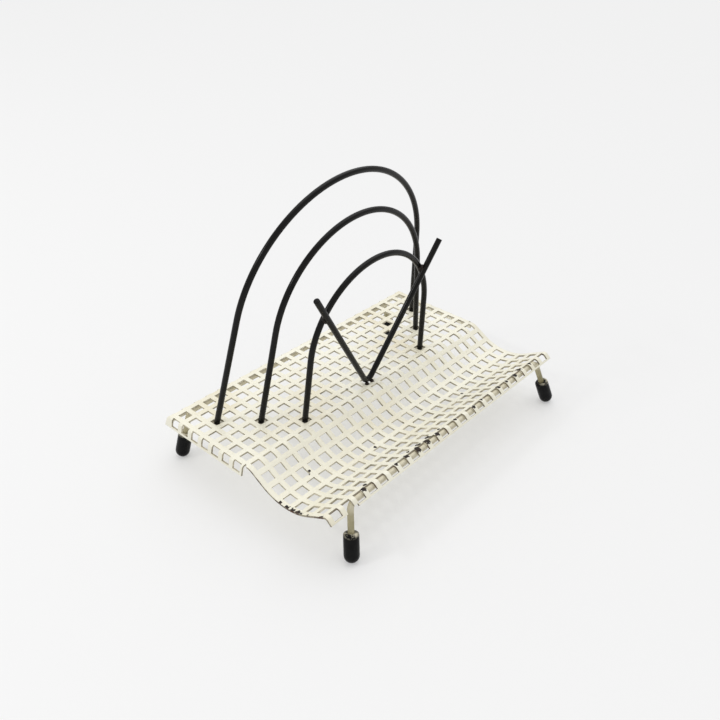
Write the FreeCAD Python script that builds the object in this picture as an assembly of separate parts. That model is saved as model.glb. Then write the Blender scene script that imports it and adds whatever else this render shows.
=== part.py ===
import FreeCAD, Part

import math
import os

from FreeCAD import Vector

# Letter rack: a perforated steel sheet folded into a deck with a pen groove, three wire arches
# and a V-shaped wire divider that stand on it, and two bent wire leg frames on rubber caps.
# Millimetres. X runs along the deck, -Y is the front. While it is built, Y = 0 is the back row
# of holes and Z = 0 the top of the flat deck; the parts are moved to the floor at the end.

# ---- perforated sheet ----
PITCH = 8.0                # square perforation, centre to centre
HOLE = 5.2                 # side of one hole
COLUMNS = 23               # holes across the deck
LAST_ROW = 14              # row 0 is the back row of the deck, the last row is in the front lip
SIDE_ROWS = 7              # rows beside a side flange
SHEET = 1.0                # thickness with its paint

# ---- folded section; lengths are along the top face ----
FLAT_BACK = 5.0            # row 0 to the back fold; also outer column to a side fold
FOLD_RADIUS = 2.0          # back and side folds
FLANGE_TURN = 78.0         # degrees that a flange is folded down
FLANGE_REACH = 11.8        # row 0 to the lower edge of a flange
FLAT_FRONT = 53.7          # row 0 to the start of the groove
GROOVE_EDGE_RADIUS = 7.6
GROOVE_DOWN = 30.5         # degrees
GROOVE_BACK_RUN = 8.4
GROOVE_RADIUS = 28.8
GROOVE_UP = 29.0           # degrees
GROOVE_FRONT_RUN = 13.4
NOSE_RADIUS = 2.4
LIP_DOWN = 42.0            # degrees
LIP_END = 115.6            # row 0 to the edge of the front lip
RAW_EDGE = 93.4            # deck centre to the cut side edges of the groove
SIDE_FLANGE_FRONT = 52.8   # row 0 to the front end of a side flange
# the lip is snipped open below one hole, where the front left leg comes out
SNIP_FROM_X = -82.6
SNIP_TO_X = -76.0
SNIP_START = 114.3         # row 0 to the snip, along the sheet

# ---- wire ----
WIRE = 3.2                 # diameter of every wire
TOUCH_GAP = 0.02           # paint line between a wire and what it is welded to
ARCH_FOOT = 2.0            # end of an arch wire below the top of the deck
# name, row, columns from the centre, inward lean of a leg, height in its own plane, forward tilt
ARCHES = (
    ("arch_back", 2, 10, 10.3, 117.3, 8.5),
    ("arch_middle", 4, 8, 9.6, 97.7, 5.3),
    ("arch_front", 6, 6, 4.1, 77.8, 3.9),
)
DIVIDER_Y = -48.68         # lowest point of the V
DIVIDER_HALF_SPAN = 47.2   # centre to a tip
DIVIDER_HEIGHT = 72.1      # lowest point to a tip, in its own plane
DIVIDER_TILT = 6.4         # degrees forward
DIVIDER_BEND = 3.6

# ---- legs ----
DECK_HEIGHT = 28.9         # floor to the top of the flat deck
LEG_TOP = 80.0             # frame centre to the corner of a leg
LEG_FOOT = 87.3            # frame centre to a foot
LEG_BEND = 4.5
FRONT_FOOT_Y = -114.1
BACK_BAR_Y = 4.0
BACK_FOOT_Y = 5.4
FRONT_FRAME_X = 3.2        # the two frames are welded on a little off centre
BACK_FRAME_X = -2.7
CAP_RADIUS = 3.85
CAP_ABOVE = 11.15          # centre of the rounded end to the rim
CAP_RIM = 0.8              # rounding of the rim
CAP_CENTRE = 3.7           # height of the rounded end's centre, which leaves a small flat

# ---- welds ----
BEAD_RADIUS = 3.9          # under the sheet round an arch foot
BEAD_DEPTH = 1.4
BEAD_ROUNDING = 0.8
CROSS_WELD_RADIUS = 2.3    # divider to front arch
BASE_WELD_RADIUS = 1.25    # two spots in front of the divider's bend
BASE_WELD_X = 2.0          # spot to the centre of the deck
TACK_RADIUS = 1.9          # leg frame to sheet
TACK_COLUMNS = (-8.5, -2.5, 2.5, 8.5)

ORIGIN = Vector(0, 0, 0)
AXIS_X = Vector(1, 0, 0)
AXIS_Z = Vector(0, 0, 1)


# ---- the line of the folded sheet ----
def arc_length(radius, degrees):
    return radius * math.radians(degrees)


def sheet_runs():
    """Lengths and turns of the top face's line, from the back flange's lower edge to the front."""
    fold = arc_length(FOLD_RADIUS, FLANGE_TURN)
    runs = [
        (FLANGE_REACH - FLAT_BACK - fold, 0.0),
        (fold, -FLANGE_TURN),
        (FLAT_BACK + FLAT_FRONT, 0.0),
        (arc_length(GROOVE_EDGE_RADIUS, GROOVE_DOWN), -GROOVE_DOWN),
        (GROOVE_BACK_RUN, 0.0),
        (arc_length(GROOVE_RADIUS, GROOVE_DOWN + GROOVE_UP), GROOVE_DOWN + GROOVE_UP),
        (GROOVE_FRONT_RUN, 0.0),
        (arc_length(NOSE_RADIUS, GROOVE_UP + LIP_DOWN), -GROOVE_UP - LIP_DOWN),
    ]
    runs.append((FLANGE_REACH + LIP_END - sum(length for length, _ in runs), 0.0))
    return runs


def advance(state, length, turn):
    """Moves (forward, up, heading in radians) along one straight or round run."""
    forward, up, heading = state
    if turn == 0.0:
        return (forward + length * math.cos(heading), up + length * math.sin(heading), heading)
    after = heading + math.radians(turn)
    radius = length / math.radians(turn)
    return (
        forward + radius * (math.sin(after) - math.sin(heading)),
        up - radius * (math.cos(after) - math.cos(heading)),
        after,
    )


def walk(start, distance):
    """State at a distance along the runs from their start."""
    state = start
    for length, turn in RUNS:
        if distance <= length:
            return advance(state, distance, turn * distance / length)
        state = advance(state, length, turn)
        distance -= length
    return advance(state, distance, 0.0)


def start_state():
    """Start of the runs, placed so that row 0 of the flat deck is the origin."""
    heading = math.radians(FLANGE_TURN)
    row_zero = walk((0.0, 0.0, heading), FLANGE_REACH)
    return (-row_zero[0], -row_zero[1], heading)


RUNS = sheet_runs()
START = start_state()


def on_sheet(distance):
    """State at a distance in front of row 0."""
    return walk(START, FLANGE_REACH + distance)


def beside(state, offset):
    """Point at an offset above the line, in the YZ plane."""
    forward, up, heading = state
    return Vector(0, -(forward - offset * math.sin(heading)), up + offset * math.cos(heading))


def section(last_run, low, high):
    """Face between two offsets from the line, from its start to the end of a run."""
    edges = []
    for offset in (low, high):
        state = START
        for length, turn in RUNS[:last_run]:
            middle = advance(state, length / 2, turn / 2)
            end = advance(state, length, turn)
            if turn:
                bend = Part.Arc(beside(state, offset), beside(middle, offset), beside(end, offset))
                edges.append(bend.toShape())
            else:
                edges.append(Part.LineSegment(beside(state, offset), beside(end, offset)).toShape())
            state = end
    for place in (START, state):
        edges.append(Part.LineSegment(beside(place, low), beside(place, high)).toShape())
    return Part.Face(Part.Wire(Part.__sortEdges__(edges)))


def along_x(face, low, high):
    solid = face.extrude(Vector(high - low, 0, 0))
    solid.translate(Vector(low, 0, 0))
    return solid


def prism(corners):
    """Upright solid over a plan outline."""
    reach = 2 * DECK_HEIGHT
    outline = [Vector(x, y, -reach) for x, y in corners]
    return Part.Face(Part.makePolygon(outline + outline[:1])).extrude(Vector(0, 0, 2 * reach))


def cutter(start, end, low_x, high_x):
    """Box through the sheet, square to the chord between two distances in front of row 0."""
    near = on_sheet(start)
    far = on_sheet(end)
    chord = math.hypot(far[0] - near[0], far[1] - near[1])
    slope = math.degrees(math.atan2(far[1] - near[1], far[0] - near[0]))
    depth = 5 * SHEET
    tool = Part.makeBox(high_x - low_x, chord, depth, Vector(low_x, -chord / 2, -depth / 2))
    tool.rotate(ORIGIN, AXIS_X, -slope)
    tool.translate(Vector(0, -(near[0] + far[0]) / 2, (near[1] + far[1]) / 2 - SHEET / 2))
    return tool


def punch(row, x):
    """Square punch at a row."""
    middle = row * PITCH
    return cutter(middle - HOLE / 2, middle + HOLE / 2, x - HOLE / 2, x + HOLE / 2)


# ---- deck ----
def to_side(shape, side):
    """Turns a shape made at the back edge so that it faces the right (1) or the left (-1)."""
    shape.rotate(ORIGIN, AXIS_Z, -90.0 * side)
    shape.translate(Vector(side * (COLUMNS - 1) / 2 * PITCH, 0, 0))
    return shape


def side_flange(side):
    """Side flange up to the 45 degree line at its back corner."""
    fold_x = (COLUMNS - 1) / 2 * PITCH + FLAT_BACK
    reach = 2 * FLANGE_REACH
    flange = along_x(section(2, -SHEET, 0.0), -reach - SIDE_FLANGE_FRONT, reach + SIDE_FLANGE_FRONT)
    keep = prism([
        (side * fold_x, -SIDE_FLANGE_FRONT),
        (side * fold_x, FLAT_BACK),
        (side * (fold_x + reach), FLAT_BACK + reach),
        (side * (fold_x + reach), -SIDE_FLANGE_FRONT),
    ])
    return to_side(flange, side).common(keep)


def make_deck():
    """Whole sheet in one piece with all of its holes."""
    fold_x = (COLUMNS - 1) / 2 * PITCH + FLAT_BACK
    reach = 2 * FLANGE_REACH
    wide = fold_x + reach
    front = -2 * LIP_END
    outline = [
        (-RAW_EDGE, front),
        (RAW_EDGE, front),
        (RAW_EDGE, -SIDE_FLANGE_FRONT),
        (fold_x, -SIDE_FLANGE_FRONT),
        (fold_x, FLAT_BACK),
        (wide, FLAT_BACK + reach),
        (-wide, FLAT_BACK + reach),
        (-fold_x, FLAT_BACK),
        (-fold_x, -SIDE_FLANGE_FRONT),
        (-RAW_EDGE, -SIDE_FLANGE_FRONT),
    ]
    strip = along_x(section(len(RUNS), -SHEET, 0.0), -wide, wide)
    sheet = strip.common(prism(outline)).fuse([side_flange(1), side_flange(-1)]).removeSplitter()
    tools = [
        punch(row, (column - (COLUMNS - 1) / 2) * PITCH)
        for row in range(-1, LAST_ROW + 1)
        for column in range(COLUMNS)
    ]
    for side in (-1, 1):
        for row in range(SIDE_ROWS):
            tool = to_side(punch(-1, 0.0), side)
            tool.translate(Vector(0, -row * PITCH, 0))
            tools.append(tool)
    tools.append(cutter(SNIP_START, LIP_END + SHEET, SNIP_FROM_X, SNIP_TO_X))
    return sheet.cut(Part.makeCompound(tools))


# ---- wires ----
def sweep(path, start, direction):
    """Round wire along a path."""
    ring = Part.Wire(Part.makeCircle(WIRE / 2, start, direction))
    return Part.Wire(path).makePipeShell([ring], True, False)


def bent_wire(points, bend):
    """Wire through points, with the same bend at every corner."""
    edges = []
    place = points[0]
    for before, corner, after in zip(points, points[1:], points[2:]):
        inward = (before - corner).normalize()
        outward = (after - corner).normalize()
        half = inward.getAngle(outward) / 2
        tangent = bend / math.tan(half)
        middle = (inward + outward).normalize() * (bend / math.sin(half) - bend)
        first = corner + inward * tangent
        last = corner + outward * tangent
        edges.append(Part.LineSegment(place, first).toShape())
        edges.append(Part.Arc(first, corner + middle, last).toShape())
        place = last
    edges.append(Part.LineSegment(place, points[-1]).toShape())
    return sweep(edges, points[0], points[1] - points[0])


def tilted(x, height, y, tilt):
    """Point in an upright plane that leans forward about its foot line."""
    lean = math.radians(tilt)
    return Vector(x, y - height * math.sin(lean), height * math.cos(lean))


def make_arch(row, column, lean, height, tilt):
    """Two straight legs that run into a half round top."""
    angle = math.radians(lean)
    half_span = column * PITCH
    centre = (height - half_span * math.cos(angle)) / (1 - math.sin(angle))
    radius = height - centre
    y = -row * PITCH
    below = -ARCH_FOOT / math.cos(math.radians(tilt))
    foot = half_span - below * math.tan(angle)
    shoulder = (radius * math.cos(angle), centre + radius * math.sin(angle))
    left_foot = tilted(-foot, below, y, tilt)
    left = tilted(-shoulder[0], shoulder[1], y, tilt)
    top = tilted(0, height, y, tilt)
    right = tilted(shoulder[0], shoulder[1], y, tilt)
    right_foot = tilted(foot, below, y, tilt)
    path = [
        Part.LineSegment(left_foot, left).toShape(),
        Part.Arc(left, top, right).toShape(),
        Part.LineSegment(right, right_foot).toShape(),
    ]
    return sweep(path, left_foot, left - left_foot)


def divider_points():
    """Tip, sharp corner and tip of the V; the corner lies below the rounded bend."""
    half = math.atan2(DIVIDER_HALF_SPAN, DIVIDER_HEIGHT)
    lowest = WIRE / 2 + TOUCH_GAP
    corner = lowest - DIVIDER_BEND * (1 / math.sin(half) - 1)
    tip = lowest + DIVIDER_HEIGHT
    return [
        tilted(-DIVIDER_HALF_SPAN, tip, DIVIDER_Y, DIVIDER_TILT),
        tilted(0, corner, DIVIDER_Y, DIVIDER_TILT),
        tilted(DIVIDER_HALF_SPAN, tip, DIVIDER_Y, DIVIDER_TILT),
    ]


def front_bar_line():
    """Y and Z of the front bar: it lies against both sides of the nose from below."""
    nose_start = FLANGE_REACH + LIP_END - RUNS[-1][0] - RUNS[-2][0]
    state = walk(START, nose_start)
    centre = beside(state, -NOSE_RADIUS)
    half = math.radians(GROOVE_UP + LIP_DOWN) / 2
    middle = state[2] - half
    drop = (WIRE / 2 + TOUCH_GAP - (NOSE_RADIUS - SHEET)) / math.cos(half)
    return centre.y - drop * math.sin(middle), centre.z - drop * math.cos(middle)


def frame_points(bar_y, bar_z, foot_y, frame_x):
    """Foot, corner, corner and foot of a leg frame; a wire ends at the cap's centre."""
    points = []
    for side in (-1, 1):
        corner = Vector(frame_x + side * LEG_TOP, bar_y, bar_z)
        floor = Vector(frame_x + side * LEG_FOOT, foot_y, -DECK_HEIGHT)
        share = CAP_CENTRE / (corner.z - floor.z)
        end = floor + (corner - floor) * share
        points += [end, corner] if side < 0 else [corner, end]
    return points


def make_cap(end, corner, wire):
    """Rubber cap pushed over the wire's end, with a rounded foot that is worn flat."""
    outline = [
        Part.Arc(
            Vector(0, 0, -CAP_RADIUS),
            Vector(CAP_RADIUS * math.sin(math.pi / 4), 0, -CAP_RADIUS * math.cos(math.pi / 4)),
            Vector(CAP_RADIUS, 0, 0),
        ).toShape(),
        Part.LineSegment(
            Vector(CAP_RADIUS, 0, 0), Vector(CAP_RADIUS, 0, CAP_ABOVE - CAP_RIM)
        ).toShape(),
        Part.Arc(
            Vector(CAP_RADIUS, 0, CAP_ABOVE - CAP_RIM),
            Vector(
                CAP_RADIUS - CAP_RIM * (1 - math.cos(math.pi / 4)),
                0,
                CAP_ABOVE - CAP_RIM * (1 - math.sin(math.pi / 4)),
            ),
            Vector(CAP_RADIUS - CAP_RIM, 0, CAP_ABOVE),
        ).toShape(),
        Part.LineSegment(
            Vector(CAP_RADIUS - CAP_RIM, 0, CAP_ABOVE), Vector(0, 0, CAP_ABOVE)
        ).toShape(),
        Part.LineSegment(Vector(0, 0, CAP_ABOVE), Vector(0, 0, -CAP_RADIUS)).toShape(),
    ]
    cap = Part.Face(Part.Wire(outline)).revolve(ORIGIN, AXIS_Z, 360)
    cap.Placement = FreeCAD.Placement(end, FreeCAD.Rotation(AXIS_Z, corner - end))
    wide = 4 * CAP_RADIUS
    low = Vector(end.x - wide / 2, end.y - wide / 2, -DECK_HEIGHT - wide)
    floor = Part.makeBox(wide, wide, wide, low)
    return cap.cut(floor).cut(wire)


# ---- welds ----
def foot_weld(wire, x, y):
    """Bead under the sheet that closes the hole an arch foot stands in."""
    bead = Part.makeCylinder(BEAD_RADIUS, BEAD_DEPTH, Vector(x, y, -SHEET - BEAD_DEPTH))
    rim = [edge for edge in bead.Edges if edge.BoundBox.ZMax < -SHEET - BEAD_DEPTH / 2]
    return bead.makeFillet(BEAD_ROUNDING, rim).cut(wire)


def between(first, second):
    """Place where two solids come nearest."""
    point = first.distToShape(second)[1][0]
    return (point[0] + point[1]) / 2


def divider_welds(divider, arch):
    """Beads where the divider crosses the front arch, and two where it stands on the sheet."""
    size = 4 * LEG_TOP
    beads = []
    for side in (-1, 1):
        half = Part.makeBox(size, size, size, Vector(min(0, side) * size, -size / 2, WIRE))
        place = between(divider.common(half), arch.common(half))
        beads.append(Part.makeSphere(CROSS_WELD_RADIUS, place).cut(divider).cut(arch))
    above_sheet = Part.makeBox(size, size, size, Vector(-size / 2, -size / 2, 0))
    for side in (-1, 1):
        middle = Vector(side * BASE_WELD_X, DIVIDER_Y - WIRE / 2, 0)
        spot = Part.makeSphere(BASE_WELD_RADIUS, middle)
        beads.append(spot.common(above_sheet).cut(divider))
    return beads


def frame_tacks(wire, touch_y, touch_z, deck):
    """Beads between the bar of a leg frame and the underside of the sheet."""
    above_sheet = along_x(section(len(RUNS), -SHEET / 2, 2 * TACK_RADIUS), -RAW_EDGE, RAW_EDGE)
    beads = []
    for column in TACK_COLUMNS:
        bead = Part.makeSphere(TACK_RADIUS, Vector(column * PITCH, touch_y, touch_z))
        beads.append(bead.cut(above_sheet).cut(deck).cut(wire))
    return beads


def make_parts():
    """Every part by name, in the deck's own frame."""
    deck = make_deck()
    parts = {"deck": deck}
    foot_beads = []
    for name, row, column, lean, height, tilt in ARCHES:
        parts[name] = make_arch(row, column, lean, height, tilt)
        for side in (-1, 1):
            foot_beads.append(foot_weld(parts[name], side * column * PITCH, -row * PITCH))
    parts["foot_welds"] = Part.makeCompound(foot_beads)

    divider = bent_wire(divider_points(), DIVIDER_BEND)
    parts["divider_v"] = divider
    parts["divider_welds"] = Part.makeCompound(divider_welds(divider, parts["arch_front"]))

    tacks = []
    back_z = -SHEET - WIRE / 2 - TOUCH_GAP
    for place, bar, foot_y, frame_x in (
        ("front", front_bar_line(), FRONT_FOOT_Y, FRONT_FRAME_X),
        ("back", (BACK_BAR_Y, back_z), BACK_FOOT_Y, BACK_FRAME_X),
    ):
        points = frame_points(bar[0], bar[1], foot_y, frame_x)
        wire = bent_wire(points, LEG_BEND)
        parts[place + "_leg_wire"] = wire
        parts["cap_" + place + "_left"] = make_cap(points[0], points[1], wire)
        parts["cap_" + place + "_right"] = make_cap(points[3], points[2], wire)
        tacks += frame_tacks(wire, bar[0], bar[1] + WIRE / 2, deck)
    parts["leg_frame_welds"] = Part.makeCompound(tacks)
    return parts


def main():
    """Stands the parts on Z = 0 with their middle over the origin and writes them."""
    os.makedirs("parts", exist_ok=True)
    parts = make_parts()
    box = Part.makeCompound(list(parts.values())).optimalBoundingBox(False)
    shift = Vector(-(box.XMin + box.XMax) / 2, -(box.YMin + box.YMax) / 2, DECK_HEIGHT)
    print("shift", shift, "size", box.XLength, box.YLength, box.ZLength)
    for name, shape in parts.items():
        shape.translate(shift)
        volumes = [round(solid.Volume, 1) for solid in shape.Solids]
        print(name, shape.isValid(), volumes)
        shape.exportStep(os.path.join("parts", name + ".step"))


main()
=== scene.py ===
# %% [markdown]
# # A letter rack of perforated sheet and bent wire
#
# The real object is a sheet of square-perforated steel, folded at the back and sides, with a
# groove for pens along the front. Three wire arches and a V of the same wire stand on it, and
# two bent wire frames make the legs, each leg in a rubber cap.
#
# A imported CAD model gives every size. This script loads it, draws finer pieces in its place,
# paints them, and lights them on a plain floor.

import math

import bmesh
import bpy
from mathutils import Matrix, Vector


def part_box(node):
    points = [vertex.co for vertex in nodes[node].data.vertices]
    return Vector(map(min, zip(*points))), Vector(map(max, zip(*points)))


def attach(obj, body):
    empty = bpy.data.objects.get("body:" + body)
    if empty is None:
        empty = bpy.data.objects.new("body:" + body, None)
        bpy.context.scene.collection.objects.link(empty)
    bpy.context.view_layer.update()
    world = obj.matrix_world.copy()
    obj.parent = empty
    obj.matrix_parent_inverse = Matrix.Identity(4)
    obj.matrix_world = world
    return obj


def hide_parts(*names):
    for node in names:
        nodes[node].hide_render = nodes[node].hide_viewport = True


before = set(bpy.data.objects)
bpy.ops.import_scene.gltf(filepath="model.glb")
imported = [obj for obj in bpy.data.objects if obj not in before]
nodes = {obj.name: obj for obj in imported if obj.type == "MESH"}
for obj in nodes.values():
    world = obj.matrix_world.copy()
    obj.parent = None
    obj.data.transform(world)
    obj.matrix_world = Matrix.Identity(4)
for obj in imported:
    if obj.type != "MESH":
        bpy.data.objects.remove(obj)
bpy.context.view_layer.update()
MM = 0.001
print("nodes:", sorted(nodes))

# %% [markdown]
# ## Sizes
#
# These are the sheet metal worker's numbers: the pitch of the holes, and the folds of the
# sheet as distances along it from the back row of holes. They repeat the CAD model's, because
# a mesh that replaces a CAD node has to lie where that node lies.

# %% Sizes in millimetres
PITCH = 8.0
HOLE = 5.2
COLUMNS = 23
SHEET = 1.0
ROW_ZERO_Y = 53.92        # where the back row of holes is in the part's own frame
DECK_TOP = 28.9
WIRE = 3.2
TOUCH_GAP = 0.02          # paint between two wires, or a wire and the sheet
ARCH_FOOT = 2.0           # how far an arch runs on below the top of the deck

FLAT_BACK = 5.0
FOLD_RADIUS = 2.0
FLANGE_TURN = 78.0
FLANGE_REACH = 11.8
SIDE_ROWS = 7
RAW_EDGE = 93.4
SIDE_FLANGE_FRONT = 52.8
LIP_END = 115.6
OUTER_COLUMN = (COLUMNS - 1) / 2 * PITCH
FOLD_LENGTH = FOLD_RADIUS * math.radians(FLANGE_TURN)

# lengths along the sheet in front of row 0, and the turn in degrees over each
GROOVE_RUNS = (
    (53.7, 0.0),
    (7.6 * math.radians(30.5), -30.5),
    (8.4, 0.0),
    (28.8 * math.radians(59.5), 59.5),
    (13.4, 0.0),
    (2.4 * math.radians(71.0), -71.0),
)

# %% [markdown]
# The folded section is walked like a path: a straight run moves ahead, a bend turns. The walk
# folds the deck further down, and before that it says where along the sheet a chip lies.


# %% Walk along a bent sheet
def walk(runs, distance):
    """Forward, up and heading at a distance along straight and round runs."""
    forward = up = heading = 0.0
    for length, turn in tuple(runs) + ((math.inf, 0.0),):
        part = min(distance, length)
        if turn:
            radius = length / math.radians(turn)
            after = heading + part / radius
            forward += radius * (math.sin(after) - math.sin(heading))
            up -= radius * (math.cos(after) - math.cos(heading))
            heading = after
        else:
            forward += part * math.cos(heading)
            up += part * math.sin(heading)
        distance -= part
        if distance <= 0:
            break
    return forward, up


# %% [markdown]
# ## Small helpers
#
# A mesh is edited in a bmesh and then becomes an object, with smooth shading, so every piece
# goes through the same few lines.

# %% From bmesh to object
def finish_piece(name, bm, *materials):
    """Makes an object of a bmesh, in metres, and ties it to the part's only body."""
    bmesh.ops.scale(bm, vec=(MM, MM, MM), verts=bm.verts)
    mesh = bpy.data.meshes.new(name)
    bm.to_mesh(mesh)
    bm.free()
    mesh.polygons.foreach_set("use_smooth", [True] * len(mesh.polygons))
    piece = bpy.data.objects.new(name, mesh)
    bpy.context.scene.collection.objects.link(piece)
    for material in materials:
        mesh.materials.append(material)
    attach(piece, "root")
    print(name, len(mesh.polygons), "faces")
    return piece


# %% [markdown]
# ## Materials
#
# Stoving enamel is a thick, glossy baked paint. It rounds every edge of the sheet, pools in
# corners and chips where it is knocked, and the steel below goes brown. Colours are written as
# they look on a screen and turned to linear light by one function.

# %% Colours and nodes
def linear(code):
    """Linear RGBA of an sRGB hex colour."""
    channels = [int(code[i:i + 2], 16) / 255 for i in (0, 2, 4)]
    return [c / 12.92 if c < 0.04045 else ((c + 0.055) / 1.055) ** 2.4 for c in channels] + [1.0]


def add(tree, kind, links=(), stops=(), **settings):
    """Adds a node: settings are properties or inputs, links are pairs of input and socket."""
    node = tree.nodes.new(kind)
    for key, value in settings.items():
        if hasattr(node, key):
            setattr(node, key, value)
        else:
            node.inputs[key.replace("_", " ")].default_value = value
    for key, socket in links:
        tree.links.new(socket, node.inputs[key])
    for number, (place, colour) in enumerate(stops):
        elements = node.color_ramp.elements
        if number >= len(elements):
            elements.new(place)
        elements[number].position = place
        elements[number].color = linear(colour)
    return node


def new_material(name):
    """Material whose tree holds only its shader and output."""
    material = bpy.data.materials.new(name)
    material.use_nodes = True
    tree = material.node_tree
    tree.nodes.clear()
    shader = tree.nodes.new("ShaderNodeBsdfPrincipled")
    output = tree.nodes.new("ShaderNodeOutputMaterial")
    tree.links.new(shader.outputs[0], output.inputs[0])
    return material, tree, shader


# %% [markdown]
# ### Cream enamel, chipped
#
# Chips are knocked out of the enamel at a few webs, most of them on the nose, where letters
# and pens rub. Each one is a ball in space with a ragged edge: the distance to its middle,
# disturbed by a fine noise, says where the paint is gone. That follows the metal round its
# edges, which a painted picture would not.

# %% Where the enamel is chipped, in millimetres: x, distance in front of the back row, radius
CHIPS = (
    (-36, 110.2, 1.5), (-32, 107.8, 1.0), (-28, 110.8, 2.0), (-24.5, 108.2, 1.5),
    (-20, 110.4, 2.1), (-16.4, 108.0, 1.6), (-12, 110.9, 1.7), (-7.5, 108.2, 1.0),
    (-68, 110.3, 1.6), (-64.6, 108.3, 1.1), (-44, 110.4, 1.1), (4, 110.3, 1.0),
    (20, 110.8, 1.2), (28, 110.2, 1.0), (44, 110.3, 1.3), (52, 110.6, 1.1),
    (60, 110.5, 1.5), (67.4, 108.6, 1.9), (76, 110.4, 1.1),
    (36, 90.4, 0.8), (-31.5, 84.4, 0.9), (-70.2, 74.0, 1.0), (-68.6, 73.2, 0.7),
    (-92.8, 78.5, 1.0), (-93.2, 83.0, 1.5), (-93.4, 86.5, 1.9), (-93.4, 89.5, 2.0),
    (-93.3, 92.5, 1.1), (-93.2, 97.5, 0.8), (-93.4, 107.5, 1.2), (-13.1, 45.4, 0.7),
)
FLANGE_OUT = 6.6          # outer column to the face of a side flange
# the same on the left flange: y, height, radius
FLANGE_CHIPS = ((12.0, 26.0, 1.0), (46.0, 25.0, 1.2), (1.8, 21.5, 1.3), (9.0, 23.0, 0.8))

# %% Chips as places in space
chips = []
for x, distance, radius in CHIPS:
    forward, up = walk(GROOVE_RUNS, distance)
    chips.append((Vector((x, ROW_ZERO_Y - forward, DECK_TOP + up)), radius))
for y, height, radius in FLANGE_CHIPS:
    chips.append((Vector((-OUTER_COLUMN - FLANGE_OUT, y, height)), radius))
print("chips:", len(chips))


# %% Cream enamel
cream, tree, shader = new_material("cream_stoving_enamel_on_steel")
place = tree.nodes.new("ShaderNodeTexCoord").outputs["Object"]
# noise scales count features per metre: 900 is ragged over about 1 mm, 28 clouds over 36 mm
ragged = add(tree, "ShaderNodeTexNoise", [("Vector", place)], Scale=900.0, Detail=3.0)
cloudy = add(tree, "ShaderNodeTexNoise", [("Vector", place)], Scale=28.0, Detail=4.0)
bare = None
for middle, radius in chips:
    far = add(tree, "ShaderNodeVectorMath", [(0, place)], operation="DISTANCE")
    far.inputs[1].default_value = middle * MM
    inside = add(tree, "ShaderNodeMath", [(0, far.outputs["Value"])], operation="DIVIDE")
    inside.inputs[1].default_value = radius * MM
    if bare is None:
        bare = inside.outputs[0]
    else:
        nearest = add(
            tree, "ShaderNodeMath", [(0, bare), (1, inside.outputs[0])], operation="MINIMUM",
        )
        bare = nearest.outputs[0]
wander = add(tree, "ShaderNodeMath", [(0, ragged.outputs["Fac"])], operation="MULTIPLY_ADD")
wander.inputs[1].default_value = 2.2
wander.inputs[2].default_value = -1.1
edge = add(tree, "ShaderNodeMath", [(0, bare), (1, wander.outputs[0])], operation="ADD")
chipped = add(
    tree, "ShaderNodeMapRange", [("Value", edge.outputs[0])], clamp=True,
    From_Min=1.05, From_Max=0.9,
)

paint = add(tree, "ShaderNodeValToRGB", [("Fac", cloudy.outputs["Fac"])], stops=(
    (0.3, "E6DEC4"), (0.46, "EEEAD7"), (0.72, "F3F0DF"),
))
steel = add(tree, "ShaderNodeValToRGB", [("Fac", ragged.outputs["Fac"])], stops=(
    (0.35, "15120F"), (0.55, "2B211A"), (0.75, "54402E"),
))
colour = add(tree, "ShaderNodeMix", [("Factor", chipped.outputs[0])], data_type="RGBA")
tree.links.new(paint.outputs["Color"], colour.inputs[6])
tree.links.new(steel.outputs["Color"], colour.inputs[7])
tree.links.new(colour.outputs[2], shader.inputs["Base Color"])
rough = add(
    tree, "ShaderNodeMapRange", [("Value", chipped.outputs[0])], To_Min=0.3, To_Max=0.85,
)
tree.links.new(rough.outputs[0], shader.inputs["Roughness"])
# orange peel of stoving enamel, about 4 mm from crest to crest
orange_peel = add(tree, "ShaderNodeTexNoise", [("Vector", place)], Scale=260.0, Detail=2.0)
relief = add(
    tree, "ShaderNodeMath", [(0, orange_peel.outputs["Fac"]), (1, chipped.outputs[0])],
    operation="SUBTRACT",
)
bump = add(tree, "ShaderNodeBump", [("Height", relief.outputs[0])], Strength=0.25, Distance=0.00012)
tree.links.new(bump.outputs[0], shader.inputs["Normal"])
shader.inputs["IOR"].default_value = 1.5

# %% [markdown]
# ### Painted shade on cut edges
#
# The walls of the holes and the outer edges are coloured a darker, mottled grey-brown: painted
# shade for walls that lie in shadow. The cut edge at the left of the groove has rusted, and so
# have the holes along the nose, where the paint is worn. The same material serves all of them,
# and the rust comes in beyond a plane.

# %% Cut edges, with painted shade
cut_edge, tree, shader = new_material("painted_shade_and_rust_on_cut_edge")
place = tree.nodes.new("ShaderNodeTexCoord").outputs["Object"]
# the noise varies over about 7 mm, with finer specks in it; it mottles the painted shade, the rust and
# the pits
mottle = add(tree, "ShaderNodeTexNoise", [("Vector", place)], Scale=150.0, Detail=5.0, Roughness=0.7)
# painted shade: hole walls and edges are darkened as if they lay in shadow
shade_tone = add(tree, "ShaderNodeValToRGB", [("Fac", mottle.outputs["Fac"])], stops=(
    (0.34, "827A64"), (0.5, "BFB7A0"), (0.66, "E0D9C4"),
))
axes = add(tree, "ShaderNodeSeparateXYZ", [("Vector", place)])
beyond = add(
    tree, "ShaderNodeMapRange", [("Value", axes.outputs["X"])], clamp=True,
    From_Min=-0.0925, From_Max=-0.0930,
)
in_front = add(
    tree, "ShaderNodeMapRange", [("Value", axes.outputs["Y"])], clamp=True,
    From_Min=0.002, From_Max=-0.004,
)
eaten = add(
    tree, "ShaderNodeMapRange", [("Value", mottle.outputs["Fac"])], clamp=True,
    From_Min=0.42, From_Max=0.52,
)
groove_side = add(
    tree, "ShaderNodeMath", [(0, beyond.outputs[0]), (1, in_front.outputs[0])],
    operation="MULTIPLY",
)
at_nose = add(
    tree, "ShaderNodeMapRange", [("Value", axes.outputs["Y"])], clamp=True,
    From_Min=-0.0500, From_Max=-0.0520, To_Max=0.85,
)
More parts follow.
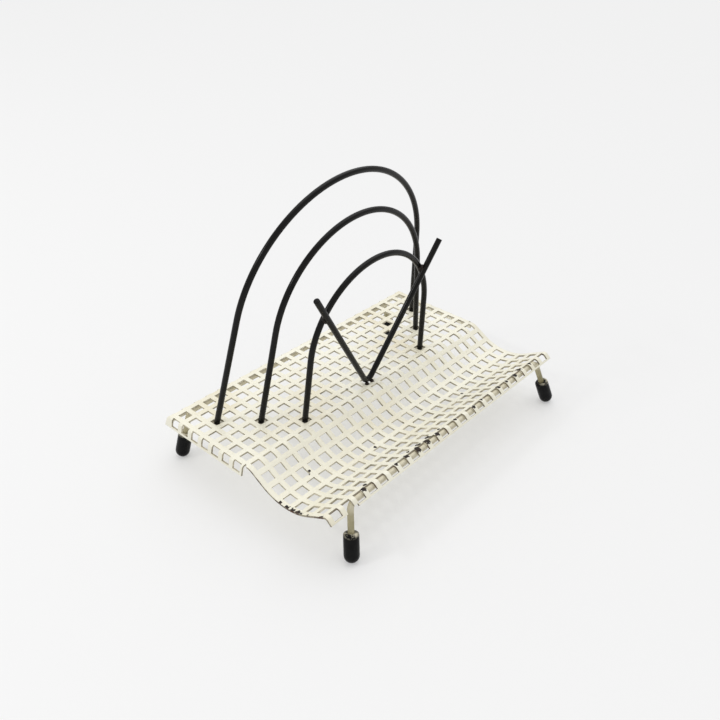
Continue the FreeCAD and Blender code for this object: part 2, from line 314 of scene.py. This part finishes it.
worn = add(
    tree, "ShaderNodeMath", [(0, groove_side.outputs[0]), (1, at_nose.outputs[0])],
    operation="MAXIMUM",
)
rusted = add(
    tree, "ShaderNodeMath", [(0, worn.outputs[0]), (1, eaten.outputs[0])], operation="MULTIPLY",
)
rust = add(tree, "ShaderNodeValToRGB", [("Fac", mottle.outputs["Fac"])], stops=(
    (0.4, "2A1D14"), (0.55, "4A2F1C"), (0.7, "6B4526"),
))
colour = add(tree, "ShaderNodeMix", [("Factor", rusted.outputs[0])], data_type="RGBA")
tree.links.new(shade_tone.outputs["Color"], colour.inputs[6])
tree.links.new(rust.outputs["Color"], colour.inputs[7])
tree.links.new(colour.outputs[2], shader.inputs["Base Color"])
pits = add(tree, "ShaderNodeBump", [("Height", mottle.outputs["Fac"])], Strength=0.4, Distance=0.0002)
tree.links.new(pits.outputs[0], shader.inputs["Normal"])
shader.inputs["Roughness"].default_value = 0.6

# %% [markdown]
# ### Wire enamels and rubber
#
# The upright wires are dipped in satin black, which shows as a near black with a soft narrow
# highlight. The leg wires are an olive beige, uneven in tone, and are painted a lighter cream
# just under the sheet, a painted light on the top of the bar there. The caps are moulded rubber,
# dark and dull, with specks of the same cream on the upper rim.

# %% Wire enamels
def wire_enamel(name, dark, light, roughness, gloss, scale):
    """Dipped paint on wire: slow changes of tone and a slightly uneven skin."""
    material, tree, shader = new_material(name)
    place = tree.nodes.new("ShaderNodeTexCoord").outputs["Object"]
    slow = add(tree, "ShaderNodeTexNoise", [("Vector", place)], Scale=scale, Detail=5.0, Roughness=0.6)
    tone = add(tree, "ShaderNodeValToRGB", [("Fac", slow.outputs["Fac"])], stops=(
        (0.35, dark), (0.68, light),
    ))
    tree.links.new(tone.outputs["Color"], shader.inputs["Base Color"])
    # dipped paint is uneven over about 2 mm
    skin = add(tree, "ShaderNodeTexNoise", [("Vector", place)], Scale=500.0, Detail=3.0)
    uneven = add(
        tree, "ShaderNodeMapRange", [("Value", skin.outputs["Fac"])],
        To_Min=roughness - 0.08, To_Max=roughness + 0.12,
    )
    tree.links.new(uneven.outputs[0], shader.inputs["Roughness"])
    bump = add(tree, "ShaderNodeBump", [("Height", skin.outputs["Fac"])], Strength=0.2, Distance=0.0001)
    tree.links.new(bump.outputs[0], shader.inputs["Normal"])
    shader.inputs["Specular IOR Level"].default_value = gloss
    return material


black = wire_enamel("black_satin_enamel_on_wire", "070706", "100E0D", 0.24, 0.2, 60.0)
olive = wire_enamel("olive_beige_enamel_on_wire", "8F8766", "BDB594", 0.4, 0.4, 110.0)
scorched = wire_enamel("scorched_black_enamel_on_weld", "0E0B0A", "2B211B", 0.5, 0.2, 400.0)
burnt_cream = wire_enamel("scorched_cream_enamel_on_weld", "A79F8A", "F2EDDC", 0.5, 0.3, 260.0)

# %% Painted light on the leg frames, near the sheet
tree = olive.node_tree
shader = tree.nodes["Principled BSDF"]
tone = shader.inputs["Base Color"].links[0].from_socket
place = tree.nodes["Texture Coordinate"].outputs["Object"]
height = add(tree, "ShaderNodeSeparateXYZ", [("Vector", place)])
# painted light: the wire turns a lighter cream near the sheet, standing in for light on the bar's top
painted_light_near_sheet = add(
    tree, "ShaderNodeMapRange", [("Value", height.outputs["Z"])], clamp=True,
    From_Min=0.0225, From_Max=0.0265, To_Max=0.8,
)
cream_near_top = add(tree, "ShaderNodeMix", [("Factor", painted_light_near_sheet.outputs[0])], data_type="RGBA")
tree.links.new(tone, cream_near_top.inputs[6])
cream_near_top.inputs[7].default_value = linear("E2DBC3")
tree.links.new(cream_near_top.outputs[2], shader.inputs["Base Color"])

# %% Rubber
rubber, tree, shader = new_material("moulded_black_rubber")
place = tree.nodes.new("ShaderNodeTexCoord").outputs["Object"]
# dust and grain over about 3 mm, coarser than the real grain so that it shows
dust = add(tree, "ShaderNodeTexNoise", [("Vector", place)], Scale=300.0, Detail=5.0, Roughness=0.7)
body_tone = add(tree, "ShaderNodeValToRGB", [("Fac", dust.outputs["Fac"])], stops=(
    (0.4, "09090A"), (0.75, "161615"),
))
height = add(tree, "ShaderNodeSeparateXYZ", [("Vector", place)])
near_rim = add(
    tree, "ShaderNodeMapRange", [("Value", height.outputs["Z"])], clamp=True,
    From_Min=0.0132, From_Max=0.0148,
)
speckle = add(
    tree, "ShaderNodeMapRange", [("Value", dust.outputs["Fac"])], clamp=True,
    From_Min=0.44, From_Max=0.56,
)
cream_near_top = add(
    tree, "ShaderNodeMath", [(0, near_rim.outputs[0]), (1, speckle.outputs[0])],
    operation="MULTIPLY",
)
colour = add(tree, "ShaderNodeMix", [("Factor", cream_near_top.outputs[0])], data_type="RGBA")
tree.links.new(body_tone.outputs["Color"], colour.inputs[6])
colour.inputs[7].default_value = linear("CFC9B4")
tree.links.new(colour.outputs[2], shader.inputs["Base Color"])
grain = add(tree, "ShaderNodeBump", [("Height", dust.outputs["Fac"])], Strength=0.25, Distance=0.00015)
tree.links.new(grain.outputs[0], shader.inputs["Normal"])
shader.inputs["Roughness"].default_value = 0.28
shader.inputs["Specular IOR Level"].default_value = 0.12


# %% [markdown]
# ## The perforated deck
#
# The real sheet is punched flat and then folded, and this mesh is made the same way. A grid
# with one face per hole is inset so that every face gets a border, and the inner faces are
# deleted. Cuts are added where the sheet will bend. Then each vertex is carried from the flat
# pattern to the folded one, and modifiers give the sheet its thickness and its soft painted
# edges.

# %% Punch the flat pattern
FIRST_ROW = -1
LAST_ROW = 14
ROWS = LAST_ROW - FIRST_ROW + 1
WIDE = COLUMNS + 2        # one more column each side for the flanges
deck = bmesh.new()
bmesh.ops.create_grid(deck, x_segments=WIDE, y_segments=ROWS, size=0.5)
bmesh.ops.scale(deck, vec=(WIDE * PITCH, ROWS * PITCH, 1), verts=deck.verts)
middle_row = (FIRST_ROW + LAST_ROW) / 2 * PITCH
# Y of the flat pattern is minus the distance in front of row 0
bmesh.ops.translate(deck, vec=(0, -middle_row, 0), verts=deck.verts)


def is_absent(face):
    """The two back corners, and the side flange columns beside the groove."""
    middle = face.calc_center_median()
    in_flange = abs(middle.x) > OUTER_COLUMN + PITCH / 2
    return in_flange and (middle.y > PITCH / 2 or middle.y < -(SIDE_ROWS - 0.5) * PITCH)


absent = [face for face in deck.faces if is_absent(face)]
bmesh.ops.delete(deck, geom=absent, context="FACES")
cells = list(deck.faces)
bmesh.ops.inset_individual(deck, faces=cells, thickness=(PITCH - HOLE) / 2, use_even_offset=True)
bmesh.ops.delete(deck, geom=cells, context="FACES_ONLY")
print("holes:", len(cells))


# %% Cut lines where the sheet bends
def cut_across(axis, place):
    """Cuts every face that crosses a line square to X (0) or Y (1)."""
    normal = Vector((1, 0, 0)) if axis == 0 else Vector((0, 1, 0))
    bmesh.ops.bisect_plane(
        deck, geom=deck.verts[:] + deck.edges[:] + deck.faces[:], plane_co=normal * place,
        plane_no=normal, dist=0.0001,
    )


FOLD_STEPS = 5
for step in range(FOLD_STEPS + 1):
    along = FLAT_BACK + FOLD_LENGTH * step / FOLD_STEPS
    cut_across(1, along)
    cut_across(0, OUTER_COLUMN + along)
    cut_across(0, -OUTER_COLUMN - along)
reached = 0.0
for length, turn in GROOVE_RUNS:
    if turn:
        steps = max(4, math.ceil(abs(turn) / 5))
        for step in range(steps + 1):
            cut_across(1, -reached - length * step / steps)
    reached += length
print("nose ends at", round(reached, 2))


# %% [markdown]
# The flanges turn down at the back and at both sides and meet at 45 degrees. Beyond a flange's
# edge, and beyond the lip's, the pattern is pulled in to the line where the sheet was cut.

# %% Fold the pattern
FLANGE_RUNS = ((FLAT_BACK, 0.0), (FOLD_LENGTH, -FLANGE_TURN))
HALF_CELL = PITCH / 2
TINY = 0.01


def fold(x, y):
    """Place on the folded sheet of a point of the flat pattern."""
    side = math.copysign(1.0, x)
    out = abs(x) - OUTER_COLUMN
    back = min(y, FLANGE_REACH)
    ahead = min(-y, LIP_END)
    if out > HALF_CELL + TINY and y > -(SIDE_ROWS - 0.5) * PITCH - TINY:
        reach, up = walk(FLANGE_RUNS, min(out, FLANGE_REACH))
        at_corner = y > HALF_CELL - TINY
        return side * (OUTER_COLUMN + reach), reach if at_corner else max(y, -SIDE_FLANGE_FRONT), up
    if y > HALF_CELL + TINY:
        reach, up = walk(FLANGE_RUNS, back)
        at_corner = out > HALF_CELL - TINY
        return (side * (OUTER_COLUMN + reach) if at_corner else x), reach, up
    if ahead > 0:
        forward, up = walk(GROOVE_RUNS, ahead)
    else:
        forward, up = -y, 0.0
    beside_groove = out > HALF_CELL - TINY and ahead > (SIDE_ROWS - 0.5) * PITCH + TINY
    return (side * RAW_EDGE if beside_groove else x), -forward, up


# the strip below one hole of the lip is snipped away, where the front left leg comes out:
# its two ends across the deck, and where it starts along the flat pattern
SNIP = (-82.6, -75.0, -114.3)
near_snip = [face for face in deck.faces if face.calc_center_median().y < -113.5]
around = {item for face in near_snip for item in (*face.verts, *face.edges, face)}
for axis, place_on_it in ((0, SNIP[0]), (0, SNIP[1]), (1, SNIP[2])):
    normal = Vector((1, 0, 0)) if axis == 0 else Vector((0, 1, 0))
    found = bmesh.ops.bisect_plane(
        deck, geom=list(around), plane_co=normal * place_on_it, plane_no=normal, dist=0.0001,
    )
    around = set(found["geom"])
gone = []
for face in deck.faces:
    middle = face.calc_center_median()
    if SNIP[0] < middle.x < SNIP[1] and middle.y < SNIP[2]:
        gone.append(face)
bmesh.ops.delete(deck, geom=gone, context="FACES")

for vert in deck.verts:
    vert.co = fold(vert.co.x, vert.co.y)
bmesh.ops.remove_doubles(deck, verts=deck.verts, dist=0.005)
bmesh.ops.translate(deck, vec=(0, ROW_ZERO_Y, DECK_TOP), verts=deck.verts)
deck_skin = finish_piece("deck_skin", deck, cream, cut_edge)

# %% Thickness and soft edges
wall = deck_skin.modifiers.new("thickness", "SOLIDIFY")
wall.thickness = SHEET * MM
wall.offset = -1.0
wall.use_even_offset = True
# the rims take the second material, with the painted shade of the cut edges
wall.material_offset_rim = 1
soft = deck_skin.modifiers.new("painted_edges", "BEVEL")
soft.width = 0.32 * MM
soft.segments = 2
soft.limit_method = "ANGLE"
soft.angle_limit = math.radians(50)
soft.harden_normals = False
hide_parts("deck")


# %% [markdown]
# ## Bent wire
#
# A wire keeps one thickness along straight runs and round bends. A ring of vertices is extruded
# along each run and spun round each bend, which is what a bending jig does. A curve with a round
# bevel would look the same, but the ring leaves clean quads and true circular bends.

# %% Draw a wire through points
RING = 28                 # vertices round a wire
TIP = 0.25                # rounding of a cut end


def draw_wire(name, points, bend, material, replaced):
    """Wire through points in millimetres, with one bend radius at every corner."""
    points = [Vector(point) for point in points]
    bm = bmesh.new()
    heading = (points[1] - points[0]).normalized()
    turn = heading.to_track_quat("Z", "Y").to_matrix().to_4x4()
    start = Matrix.Translation(points[0]) @ turn
    bmesh.ops.create_circle(bm, cap_ends=False, radius=WIRE / 2, segments=RING, matrix=start)
    ring = list(bm.edges)
    first_ring = list(ring)
    here = points[0]
    for corner, after in zip(points[1:], points[2:] + [None]):
        goal = corner
        if after is not None:
            leaving = (after - corner).normalized()
            turned = heading.angle(leaving)
            tangent = bend * math.tan(turned / 2)
            goal = corner - heading * tangent
        made = bmesh.ops.extrude_edge_only(bm, edges=ring)["geom"]
        moved = [item for item in made if isinstance(item, bmesh.types.BMVert)]
        bmesh.ops.translate(bm, vec=goal - here, verts=moved)
        made_edges = [item for item in made if isinstance(item, bmesh.types.BMEdge)]
        ring = [edge for edge in made_edges if all(vert in moved for vert in edge.verts)]
        here = goal
        if after is None:
            break
        axis = heading.cross(leaving).normalized()
        centre = goal + axis.cross(heading) * bend
        steps = max(5, math.ceil(math.degrees(turned) / 3))
        corners = {v for e in ring for v in e.verts}
        spun = bmesh.ops.spin(
            bm, geom=list(corners) + ring, cent=centre, axis=axis, dvec=(0, 0, 0),
            angle=turned, steps=steps, use_merge=False, use_duplicate=False,
        )["geom_last"]
        ring = [item for item in spun if isinstance(item, bmesh.types.BMEdge)]
        here = corner + leaving * tangent
        heading = leaving
    ends = []
    for rim in (first_ring, ring):
        ends += bmesh.ops.edgeloop_fill(bm, edges=rim)["faces"]
    rims = [edge for face in ends for edge in face.edges]
    bmesh.ops.bevel(
        bm, geom=rims, offset=TIP, offset_type="OFFSET", segments=3, profile=0.5,
        affect="EDGES", material=-1,
    )
    bmesh.ops.recalc_face_normals(bm, faces=bm.faces)
    piece = finish_piece(name, bm, material)
    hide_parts(replaced)


# %% [markdown]
# The three arches are the same bend at three sizes. Each leg leans inwards and runs into a half
# round, and the whole arch leans forward a little. The bend's corner is where the two legs
# would meet if they went on straight.

# %% Arches
def tilted(x, height, y, tilt):
    """Point of an upright plane that leans forward about its foot line."""
    lean = math.radians(tilt)
    return Vector((x, y - height * math.sin(lean), DECK_TOP + height * math.cos(lean)))


# row, column, inward lean in degrees, height, forward tilt in degrees
ARCHES = {
    "arch_back": (2, 10, 10.3, 117.3, 8.5),
    "arch_middle": (4, 8, 9.6, 97.7, 5.3),
    "arch_front": (6, 6, 4.1, 77.8, 3.9),
}
for node, (row, column, lean, height, tilt) in ARCHES.items():
    angle = math.radians(lean)
    half_span = column * PITCH
    centre = (height - half_span * math.cos(angle)) / (1 - math.sin(angle))
    below = -ARCH_FOOT / math.cos(math.radians(tilt))
    foot = half_span - below * math.tan(angle)
    apex = half_span / math.tan(angle)
    y = ROW_ZERO_Y - row * PITCH
    line = [tilted(-foot, below, y, tilt), tilted(0, apex, y, tilt), tilted(foot, below, y, tilt)]
    draw_wire(node + "_wire", line, height - centre, black, node)

# %% [markdown]
# The V is one sharp bend. It stands in front of the smallest arch, touches it at two points,
# and is welded there and where its bend meets the sheet.

# %% Divider
DIVIDER_BEND = 3.6
DIVIDER_TILT = 6.4
DIVIDER_HALF_SPAN = 47.2
DIVIDER_HEIGHT = 72.1
DIVIDER_Y = -48.68        # from the back row of holes
divider_y = ROW_ZERO_Y + DIVIDER_Y
half = math.atan2(DIVIDER_HALF_SPAN, DIVIDER_HEIGHT)
lowest = WIRE / 2 + TOUCH_GAP
tip_height = lowest + DIVIDER_HEIGHT
corner = lowest - DIVIDER_BEND * (1 / math.sin(half) - 1)
line = [
    tilted(-DIVIDER_HALF_SPAN, tip_height, divider_y, DIVIDER_TILT),
    tilted(0, corner, divider_y, DIVIDER_TILT),
    tilted(DIVIDER_HALF_SPAN, tip_height, divider_y, DIVIDER_TILT),
]
draw_wire("divider_wire", line, DIVIDER_BEND, black, "divider_v")

# %% [markdown]
# ## Leg frames and caps
#
# A leg frame is a staple: a bar that hides under the sheet, with a leg at each end that splays
# outwards. The caps are moulded rubber tubes with a closed round end, spun from half a section.

# %% Leg frames
LEG_TOP = 80.0
LEG_FOOT = 87.3
LEG_BEND = 4.5
CAP_CENTRE = 3.7
# middle across the deck, and the bar's and the feet's places along it
FRAMES = {
    "front": (3.2, -106.04 + ROW_ZERO_Y, -114.1 + ROW_ZERO_Y),
    "back": (-2.7, 4.0 + ROW_ZERO_Y, 5.4 + ROW_ZERO_Y),
}
for where, (middle_x, bar_y, foot_y) in FRAMES.items():
    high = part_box(where + "_leg_wire")[1]
    bar_z = high[2] / MM - WIRE / 2
    line = []
    for side in (-1, 1):
        top = Vector((middle_x + side * LEG_TOP, bar_y, bar_z))
        floor_point = Vector((middle_x + side * LEG_FOOT, foot_y, 0))
        end = floor_point + (top - floor_point) * (CAP_CENTRE / bar_z)
        line += [end, top] if side < 0 else [top, end]
    draw_wire(where + "_leg_frame", line, LEG_BEND, olive, where + "_leg_wire")
    for hand, end, top in (("left", line[0], line[1]), ("right", line[3], line[2])):
        cap = bmesh.new()
        outline = [(0.0, -3.67), (0.9, -3.67), (2.0, -3.29), (2.9, -2.54), (3.48, -1.65), (3.77, -0.7)]
        outline += [(3.85, 0.2), (3.85, 5.0), (3.81, 9.95), (3.7, 10.55), (3.35, 11.0), (2.7, 11.15)]
        outline += [(1.75, 11.05), (1.62, 10.65), (1.6, 8.8)]
        chain = [cap.verts.new((radius, 0, up)) for radius, up in outline]
        edges = [cap.edges.new(pair) for pair in zip(chain, chain[1:])]
        bmesh.ops.spin(
            cap, geom=chain + edges, cent=(0, 0, 0), axis=(0, 0, 1), dvec=(0, 0, 0),
            angle=math.tau, steps=40, use_merge=True, use_duplicate=False,
        )
        bmesh.ops.remove_doubles(cap, verts=cap.verts, dist=0.001)
        bmesh.ops.recalc_face_normals(cap, faces=cap.faces)
        lean = (top - end).normalized().to_track_quat("Z", "Y").to_matrix().to_4x4()
        bmesh.ops.transform(cap, matrix=Matrix.Translation(end) @ lean, verts=cap.verts)
        for vert in cap.verts:
            vert.co.z = max(vert.co.z, 0.0)
        name = "cap_" + where + "_" + hand
        piece = finish_piece(name + "_rubber", cap, rubber)
        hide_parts(name)

# %% [markdown]
# ## Welds
#
# The beads are too small to draw by hand, so the CAD ones stay and get their finish.

# %% Weld finishes
finishes = (("foot_welds", burnt_cream), ("divider_welds", scorched), ("leg_frame_welds", olive))
for node, material in finishes:
    mesh = nodes[node].data
    mesh.materials.clear()
    mesh.materials.append(material)
    mesh.polygons.foreach_set("use_smooth", [True] * len(mesh.polygons))

# %% [markdown]
# ## Floor, light and camera
#
# A product on a wide pale floor that glows a little, a painted light that thins the shadows,
# a big soft light high at the back right, and a bright even surround that keeps them thin.

# %% Floor
floor_mesh = bmesh.new()
bmesh.ops.create_grid(floor_mesh, x_segments=1, y_segments=1, size=6.0)
mesh = bpy.data.meshes.new("paper")
floor_mesh.to_mesh(mesh)
floor_mesh.free()
floor = bpy.data.objects.new("paper", mesh)
bpy.context.scene.collection.objects.link(floor)
paper, tree, shader = new_material("glowing_white_paper")
shader.inputs["Base Color"].default_value = linear("C1C1C1")
shader.inputs["Roughness"].default_value = 0.9
shader.inputs["Specular IOR Level"].default_value = 0.0
# the paper glows a little: a painted light from below that keeps the shadows thin
shader.inputs["Emission Color"].default_value = (1.0, 1.0, 1.0, 1.0)
shader.inputs["Emission Strength"].default_value = 0.34
mesh.materials.append(paper)

# %% Light
world = bpy.data.worlds.new("surround")
bpy.context.scene.world = world
world.use_nodes = True
world.node_tree.nodes["Background"].inputs["Color"].default_value = (1.0, 1.0, 1.0, 1.0)
world.node_tree.nodes["Background"].inputs["Strength"].default_value = 0.66
sky_light = bpy.data.lights.new("ceiling_softbox", "SUN")
sky_light.energy = 1.2
sky_light.angle = math.radians(75)
lamp = bpy.data.objects.new("ceiling_softbox", sky_light)
toward = Vector((0.45, 0.25, 1.0))
lamp.rotation_euler = toward.to_track_quat("Z", "Y").to_euler()
bpy.context.scene.collection.objects.link(lamp)

# a small bright panel at the back left draws a thin highlight along the wires
strip = bpy.data.lights.new("left_strip", "AREA")
strip.shape = "RECTANGLE"
strip.size = 0.25
strip.size_y = strip.size / 4
strip.energy = 2.4
panel = bpy.data.objects.new("left_strip", strip)
panel.location = (-0.9, 0.55, 0.8)
aim = Vector((0.0, 0.0, 0.05)) - panel.location
panel.rotation_euler = aim.to_track_quat("-Z", "Y").to_euler()
bpy.context.scene.collection.objects.link(panel)
scene = bpy.context.scene
scene.view_settings.view_transform = "Standard"

# %% Camera
camera = bpy.data.objects.new("camera", bpy.data.cameras.new("camera"))
camera.data.sensor_width = 36.0
camera.data.lens = 40.0
camera.data.clip_start = 0.01
camera.location = (-0.27769, -0.23256, 0.28325)
heading = Matrix.Rotation(math.radians(-48.76), 3, "Z")
pitch = Matrix.Rotation(math.radians(90 - 33.31), 3, "X")
roll = Matrix.Rotation(math.radians(1.06), 3, "Z")
camera.rotation_euler = (heading @ pitch @ roll).to_euler()
scene.collection.objects.link(camera)
scene.camera = camera
